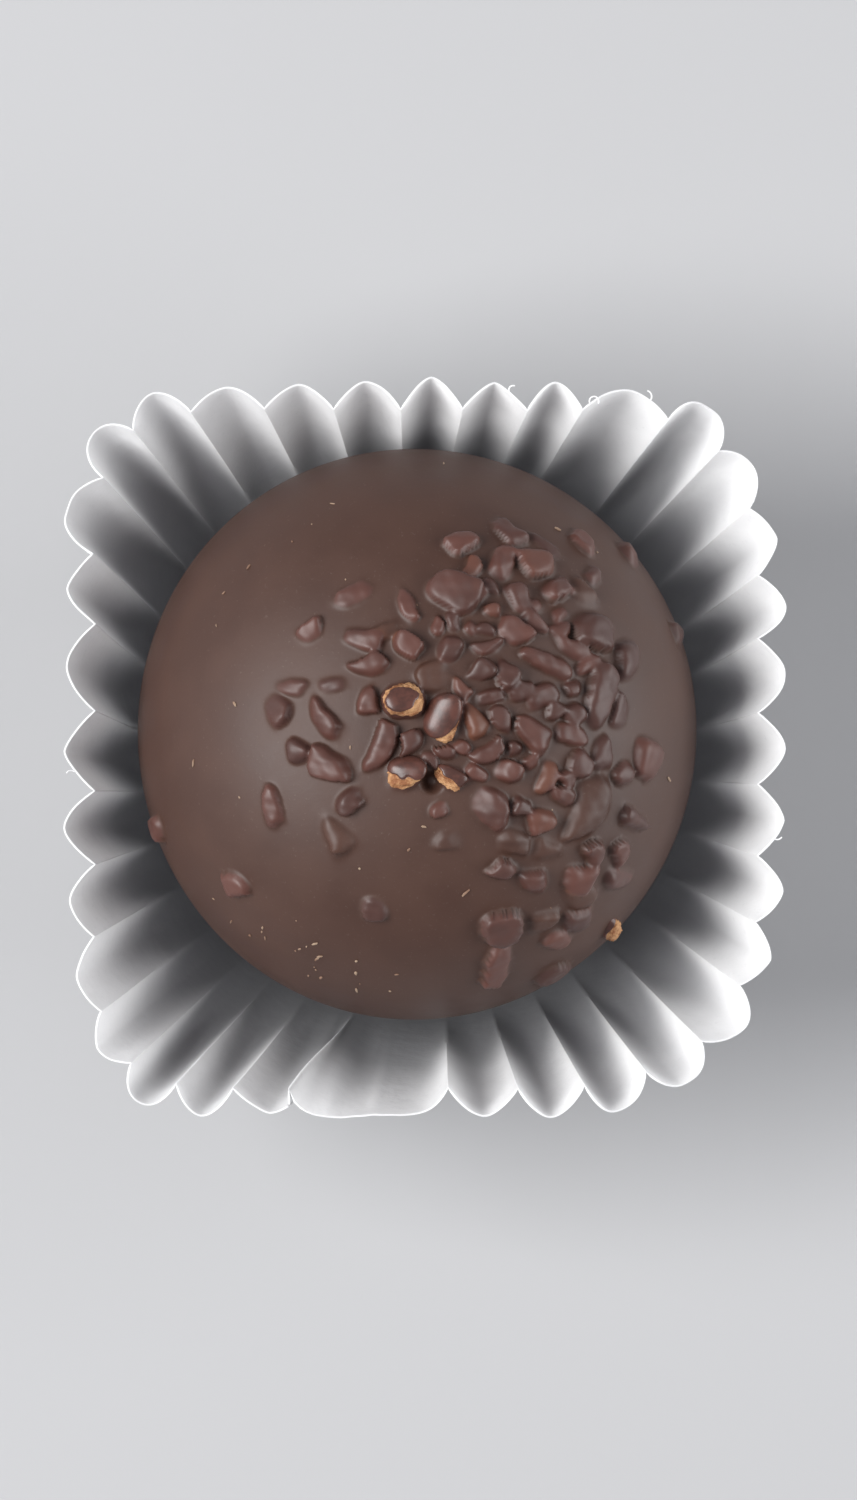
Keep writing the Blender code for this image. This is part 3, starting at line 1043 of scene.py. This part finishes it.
# %% [markdown]
# ## The broken nibs
#
# Five nibs lost part of their coat when the sweets were packed, and show the dry tan inside. Each is
# one lump, in which the bare part lies a tenth of a millimetre deeper and is rough. The value
# `bare` on its vertices is 1 there, and the material reads it.

# %% Lumps with part of their coat gone
COAT_THICKNESS = 0.11 * MM
BARE_ROUGHNESS = 0.045 * MM
RAGGED = 6.0  # degrees that the edge of the coat strays
COAT_EDGE = 7.0  # degrees over which the coat thins out
BROKEN_SUBDIVISIONS = 5
BROKEN_KIND = {"crispness": 2.8, "breaks": 2, "taper": 0.0, "bend": 0.0, "bumps": 1}
BROKEN_SEED = 300


def rough_waves(directions, draw, waves, fineness):
    """A sum of waves in random directions, from about -1 to 1: cheap noise on a ball."""
    total = np.zeros(len(directions))
    for _ in range(waves):
        heading = draw.normal(size=3)
        heading /= np.linalg.norm(heading)
        total += np.sin(directions @ heading * draw.uniform(0.5, 1.5) * fineness + draw.uniform(0, 6.3))
    return total / math.sqrt(waves)


def laid_broken(number):
    """The broken nib of this number, as it lay when it was whole."""
    place = BROKEN_NIBS[number][:-3]
    return laid_nib(*place, new_shape(BROKEN_SEED + number, **BROKEN_KIND), 0.5)


def broken_lump(number):
    """World places of one broken nib's vertices, its faces, and how bare each vertex is."""
    cap_right, cap_behind, cap_angle = BROKEN_NIBS[number][-3:]
    draw = np.random.default_rng(BROKEN_SEED + number)
    directions, faces = round_block(BROKEN_SUBDIVISIONS)
    laid = laid_broken(number)
    places = laid["middle"] + (shape_points(laid["shape"], directions) * laid["halves"]) @ laid["axes"]
    facing = (directions / laid["halves"]) @ laid["axes"]
    facing /= np.linalg.norm(facing, axis=1)[:, None]
    cap = np.array([cap_right, cap_behind, 1.0])
    cap /= np.linalg.norm(cap)
    ragged = rough_waves(directions, draw, 6, 7.0) * RAGGED
    angle = np.degrees(np.arccos(np.clip(facing @ cap, -1, 1)))
    bare = np.clip((angle + ragged - cap_angle) / COAT_EDGE + 0.5, 0, 1)
    dent = COAT_THICKNESS + BARE_ROUGHNESS * rough_waves(directions, draw, 14, 26.0)
    places -= facing * (bare * dent)[:, None]
    return places, faces, bare


def broken_piece():
    points, faces, bare = [], [], []
    for number in range(len(BROKEN_NIBS)):
        lump, lump_faces, lump_bare = broken_lump(number)
        first = len(points)
        points += list(lump)
        faces += [tuple(first + corner for corner in face) for face in lump_faces]
        bare += list(lump_bare)
    mesh = mesh_from("broken_nibs", points, faces)
    store(mesh, "bare", "FLOAT", np.array(bare, np.float32))
    mesh.materials.append(BROKEN_MATERIAL)
    mesh.shade_smooth()
    return linked("broken_nibs", mesh)


broken = broken_piece()
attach(broken, "root")
print("broken nibs:", len(broken.data.polygons), "faces")

# %% [markdown]
# ## Draping the coat over the nibs
#
# The coat was liquid when it went over the nibs, so it has no seams: it is one skin that rises over
# each nib and runs into a smooth hollow between two. Separate lumps on a ball would look like
# pebbles on a table. So here each vertex of the ball looks along its own normal, at a row of levels,
# and asks how deep inside the ball or any nib it would be there. Adding exponentials of those depths
# blends them all softly, and the vertex moves up to the highest level that is still inside.

# %% Find the skin over ball and nibs
BLEND = 0.075 * MM  # how softly the skin turns from the ball into a nib
LEVEL_STEP = 0.05 * MM
LEVELS = np.arange(0.0, 1.9 * MM, LEVEL_STEP)
UNEVEN_SKIN = 0.03 * MM
SKIN_WAVES = 10
WAVE_LENGTH = 0.9 * MM
NIB_CORNERS = 1.3  # half sizes from a nib's middle that its corners reach
DEEPEST_PULL = 1.2 * MM
SUNK_CORE = 0.80  # of a broken nib's height: its part that the skin runs up to
CORE_DROP = 0.45  # of half its height, how much deeper that part lies
PIT = (0.50, -2.95, 0.50, 0.75)  # where a nib has fallen out: right, behind, radius and depth in mm


def skin_waves(points):
    """Soft unevenness from about -1 to 1, as a sum of waves through space."""
    draw = np.random.default_rng(77)
    total = np.zeros(points.shape[:-1])
    for _ in range(SKIN_WAVES):
        heading = draw.normal(size=3)
        heading *= math.tau / np.linalg.norm(heading) / (WAVE_LENGTH * draw.uniform(0.6, 1.4))
        total += np.sin(points @ heading + draw.uniform(0, math.tau))
    return total / math.sqrt(SKIN_WAVES)


def cores():
    """The sunk parts of the broken nibs, which the skin runs up to."""
    found = [laid_broken(number) for number in range(len(BROKEN_NIBS))]
    for core in found:
        core["middle"] = core["middle"] - core["axes"][2] * core["halves"][2] * CORE_DROP
        core["halves"] = core["halves"] * (1.0, 1.0, SUNK_CORE)
    return found


def drape(mesh):
    count = len(mesh.vertices)
    points, normals = np.empty(count * 3), np.empty(count * 3)
    mesh.vertices.foreach_get("co", points)
    mesh.vertices.foreach_get("normal", normals)
    points, normals = points.reshape(-1, 3), normals.reshape(-1, 3)
    skin = np.tile(np.exp(-LEVELS / BLEND), (count, 1))
    nib_pull, tint_pull = np.zeros_like(skin), np.zeros_like(skin)
    for nib in LAID_NIBS + cores():
        furthest = nib["halves"].max() * NIB_CORNERS + 0.5 * MM
        near = np.flatnonzero(np.linalg.norm(points - nib["middle"], axis=1) < furthest)
        raised = points[near][:, None, :] + normals[near][:, None, :] * LEVELS[:, None]
        places = (raised - nib["middle"]) @ nib["axes"].T / nib["halves"]
        outside = (how_far_out(nib["shape"], places) - 1) * nib["halves"][1]
        outside += UNEVEN_SKIN * skin_waves(raised)
        pull = np.exp(-np.clip(outside, -DEEPEST_PULL, DEEPEST_PULL) / BLEND / nib["cover"])
        skin[near] += pull
        nib_pull[near] += pull / nib["cover"]
        tint_pull[near] += pull * nib["tint"]
    last = len(LEVELS) - 1 - np.argmax(skin[:, ::-1] >= 1, axis=1)
    rows = np.arange(count)
    below = np.log(skin[rows, last])
    above = np.log(skin[rows, np.minimum(last + 1, len(LEVELS) - 1)])
    rise = LEVELS[last] + LEVEL_STEP * below / np.maximum(below - above, 1e-6)
    over_nib = nib_pull[rows, last] / skin[rows, last]
    tint = np.clip(tint_pull[rows, last] / np.maximum(nib_pull[rows, last], 1e-9), 0, 1)
    return points, normals, rise, over_nib, tint


def away_from(points, x, y):
    """Each point's distance from a place on the ball."""
    spot = seat_of(x, y, 0)[0]
    return np.linalg.norm(points - np.array(spot), axis=1)


def raise_coat(mesh):
    points, normals, rise, over_nib, tint = drape(mesh)
    x, y, radius, depth = PIT
    rise -= depth * MM * np.exp(-((away_from(points, x, y) / (radius * MM)) ** 4))
    points += normals * rise[:, None]
    mesh.vertices.foreach_set("co", points.ravel())
    store(mesh, "over_nib", "FLOAT", over_nib.astype(np.float32))
    store(mesh, "tint", "FLOAT", tint.astype(np.float32))
    mesh.update()
    return rise.max() / MM


print("coat raised by up to, mm:", raise_coat(coat.data))
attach(coat, "root")
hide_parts("truffle")

# %% [markdown]
# ## Crumbs
#
# Dry dust from the nibs clings to the coat, mostly along the lower left edge. The grains are tiny
# and there are dozens of them, so the same recipe strews them, with shapes of only a few faces.

# %% Strew crumbs on the coat
CRUMB_SHAPES = 4
EDGE_CRUMBS = 22  # along the lower left edge
LOOSE_CRUMBS = 30
CRUMB_REACH = 14.2  # millimetres from the ball's middle
EDGE_TURN = (238, 16)  # degrees: where they lie round the ball, and how far they stray
CRUMB_WIDTH = (0.07, 0.24, 0.11)  # millimetres: least, most, commonest
CRUMB_LENGTHS = [1.0, 1.6, 2.5, 4.0]  # in widths
CRUMB_HEIGHT = 0.7  # in widths, like the next
CRUMB_LIFT = 0.15


def crumb_library():
    library = bpy.data.collections.new("Crumb shapes")
    directions, faces = round_block(1)
    for number in range(CRUMB_SHAPES):
        draw = np.random.default_rng(500 + number)
        points = directions * draw.uniform(0.3, 0.5, (len(directions), 1))
        mesh = mesh_from(f"crumb_{number}", points, faces)
        library.objects.link(bpy.data.objects.new(f"crumb_{number}", mesh))
    return library


def crumb_places(seed=31):
    draw = random.Random(seed)
    places = []
    for number in range(EDGE_CRUMBS + LOOSE_CRUMBS):
        if number < EDGE_CRUMBS:
            angle, away = math.radians(draw.gauss(*EDGE_TURN)), CRUMB_REACH - abs(draw.gauss(0, 1.3))
        else:
            angle, away = draw.uniform(0, math.tau), CRUMB_REACH * math.sqrt(draw.random())
        x, y = away * math.cos(angle), away * math.sin(angle)
        spot, out, along, _ = seat_of(x, y, draw.uniform(0, 180))
        width = draw.triangular(*CRUMB_WIDTH) * MM
        size = (width * draw.choice(CRUMB_LENGTHS), width, width * CRUMB_HEIGHT)
        places.append((spot + out * width * CRUMB_LIFT, out, along, size, number % CRUMB_SHAPES))
    return places


crumbs = strew("nib_crumbs", crumb_places(), crumb_library(), CRUMB_MATERIAL)
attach(crumbs, "root")
print("crumbs:", len(crumbs.data.polygons), "faces")

# %% [markdown]
# ## Torn fibres
#
# Where the paper was cut, a few fibres curl off the rim. Each is a short wire along a bent line.

# %% Fibres at the rim
# for each fibre: where it starts (right, behind), its length in mm, its heading and curl in degrees
FIBRES = [
    (8.4, 18.4, 1.0, 100, -230),
    (4.3, 19.2, 0.5, 100, -130),
    (12.0, 18.9, 0.6, 60, 110),
    (16.9, 12.9, 0.6, 30, 100),
    (-18.9, -1.4, 0.5, 150, 90),
    (18.8, -5.2, 0.4, -20, 80),
]
FIBRE_THICKNESS = 0.08 * MM
FIBRE_STEPS = 12
FIBRE_RISE = 0.25  # how steeply a fibre climbs midway
RIM_LEVEL = 12 * MM  # all of the paper above this is near the rim


def rim_place(x, y):
    """The spot on the paper's rim that is nearest to a place seen from above."""
    here = Vector((x * MM, y * MM))
    rim = [vertex.co for vertex in paper_case.data.vertices if vertex.co.z > RIM_LEVEL]
    return min(rim, key=lambda spot: (spot.xy - here).length - 0.5 * spot.z).copy()


def fibre_piece():
    curve = bpy.data.curves.new("fibres", "CURVE")
    curve.dimensions = "3D"
    curve.bevel_depth = FIBRE_THICKNESS / 2
    curve.bevel_resolution = 2
    curve.use_fill_caps = True
    for x, y, length, heading, curl in FIBRES:
        spline = curve.splines.new("POLY")
        spline.points.add(FIBRE_STEPS)
        place = rim_place(x, y)
        for step, point in enumerate(spline.points):
            point.co = (*place, 1)
            turn = math.radians(heading + curl * step / FIBRE_STEPS)
            rise = FIBRE_RISE * math.sin(step / FIBRE_STEPS * math.pi)
            place = place + Vector((math.cos(turn), math.sin(turn), rise)) * length * MM / FIBRE_STEPS
    source = bpy.data.objects.new("fibres", curve)
    bpy.context.scene.collection.objects.link(source)
    graph = bpy.context.evaluated_depsgraph_get()
    mesh = bpy.data.meshes.new_from_object(source.evaluated_get(graph))
    bpy.data.objects.remove(source)
    mesh.name = "rim_fibres"
    mesh.materials.clear()
    mesh.materials.append(FIBRE_MATERIAL)
    mesh.shade_smooth()
    return linked("rim_fibres", mesh)


fibres = fibre_piece()
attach(fibres, "root")
print("fibres:", len(fibres.data.polygons), "faces")

# %% [markdown]
# ## Floor, light and camera
#
# The sweet is seen from straight above, lit by two wide soft lamps low on its left and right. They
# leave its top dark and put a broad soft light on each flank. The floor is plain and pale.

# %% Stage
FLOOR_GREY = (0.44, 0.44, 0.445, 1)
FLOOR_SHADE = (0.36, 0.36, 0.37, 1)
FLOOR_CORNERS = [(-1, -1, 0), (1, -1, 0), (1, 1, 0), (-1, 1, 0)]
ROOM_COLOUR = (0.9, 0.92, 1.0, 1)
ROOM_STRENGTH = 0.36
LAMP_DISTANCE = 0.42
LAMP_SIZE = (0.42, 0.36)
LEFT_HEIGHT = 0.45
RIGHT_HEIGHT = 0.14
LEFT_POWER = 5.3
RIGHT_POWER = 2.0
CAMERA_DISTANCE = 0.70
VIEW_WIDTH = 0.0455
AIM = Vector((0.0, 0.0, 0.012))
TOWARDS_CAMERA = Vector((-0.026, -0.030, 1.0))


def lamp(name, place, power):
    light = bpy.data.lights.new(name, "AREA")
    light.shape = "RECTANGLE"
    light.size, light.size_y = LAMP_SIZE
    light.energy = power
    made = bpy.data.objects.new(name, light)
    made.location = place
    made.rotation_euler = (AIM - Vector(place)).to_track_quat("-Z", "Y").to_euler()
    bpy.context.scene.collection.objects.link(made)
    return made


def studio():
    floor = linked("floor", mesh_from("floor", FLOOR_CORNERS, [(0, 1, 2, 3)]))
    material, place, shader = start_material("pale_floor")
    clouds = noise(place, 9, detail=1)
    colour = mixed_colours(clouds * 0.1, FLOOR_GREY, FLOOR_SHADE)
    finish_shader(shader, colour, clouds * 0.05 + 0.8)
    floor.data.materials.append(material)
    lamp("left_lamp", (-LAMP_DISTANCE, 0.0, LEFT_HEIGHT), LEFT_POWER)
    lamp("right_lamp", (LAMP_DISTANCE, 0.0, RIGHT_HEIGHT), RIGHT_POWER)
    world = bpy.data.worlds.new("room")
    world.use_nodes = True
    background = world.node_tree.nodes["Background"]
    background.inputs["Color"].default_value = ROOM_COLOUR
    background.inputs["Strength"].default_value = ROOM_STRENGTH
    bpy.context.scene.world = world
    bpy.context.scene.view_settings.view_transform = "Standard"


def camera():
    data = bpy.data.cameras.new("camera")
    data.sensor_fit = "HORIZONTAL"
    data.sensor_width = 36.0
    data.lens = data.sensor_width * CAMERA_DISTANCE / VIEW_WIDTH
    data.clip_end = 10.0
    made = bpy.data.objects.new("camera", data)
    back = TOWARDS_CAMERA.normalized()
    right = Vector((0.0, 1.0, 0.0)).cross(back).normalized()
    turn = Matrix((right, back.cross(right), back)).transposed()
    made.location = AIM + back * CAMERA_DISTANCE
    made.rotation_euler = turn.to_euler()
    bpy.context.scene.collection.objects.link(made)
    bpy.context.scene.camera = made


studio()
camera()
print("stage ready")
